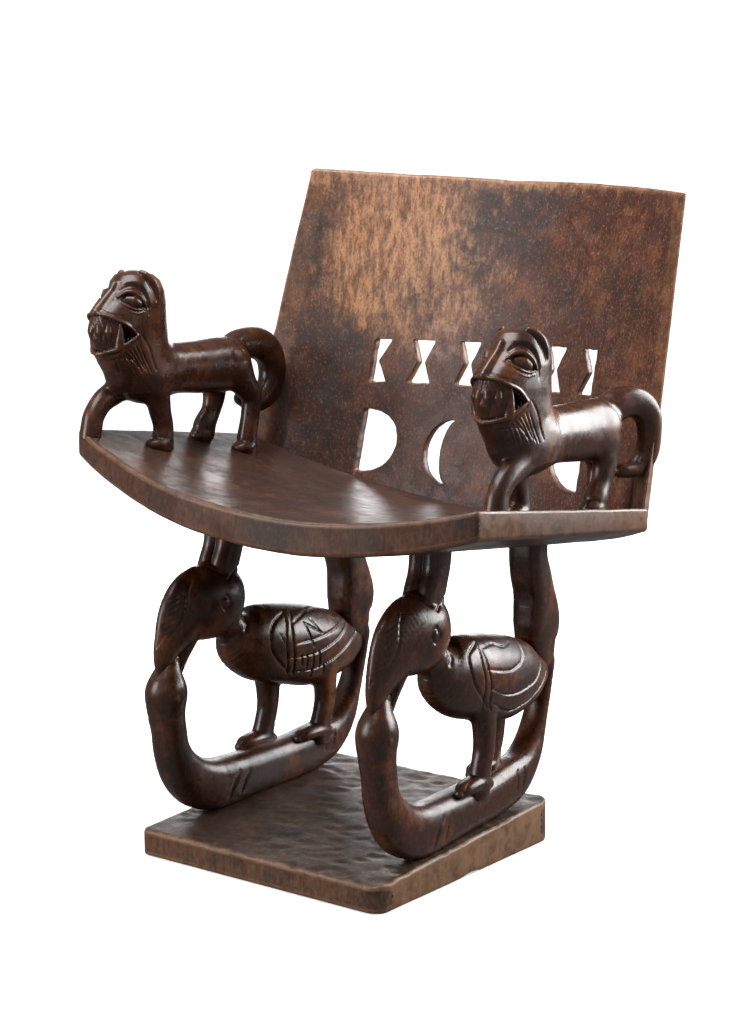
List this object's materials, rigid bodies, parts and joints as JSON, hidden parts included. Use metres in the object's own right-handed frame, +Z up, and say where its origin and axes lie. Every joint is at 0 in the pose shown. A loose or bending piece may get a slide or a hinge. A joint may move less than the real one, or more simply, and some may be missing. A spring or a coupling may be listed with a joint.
{
  "type": "prestige chair",
  "caption": "Carved wooden prestige chair with a dished seat, a pierced hollow back, lions on the seat's ends and supports formed as birds standing on snakes.",
  "frame": {"origin": "bottom centre of the chair's bounding box, on the floor", "axes": "+Z up, +Y towards the leaning back, -Y towards the seat's front, +X towards the sitter's left"},
  "size_m": [0.5768, 0.5316, 0.7671],
  "materials": {
    "wood": "dark oiled hardwood with a worn, satin patina"
  },
  "bodies": {
    "root": {"chair": "wood"}
  },
  "joints": []
}
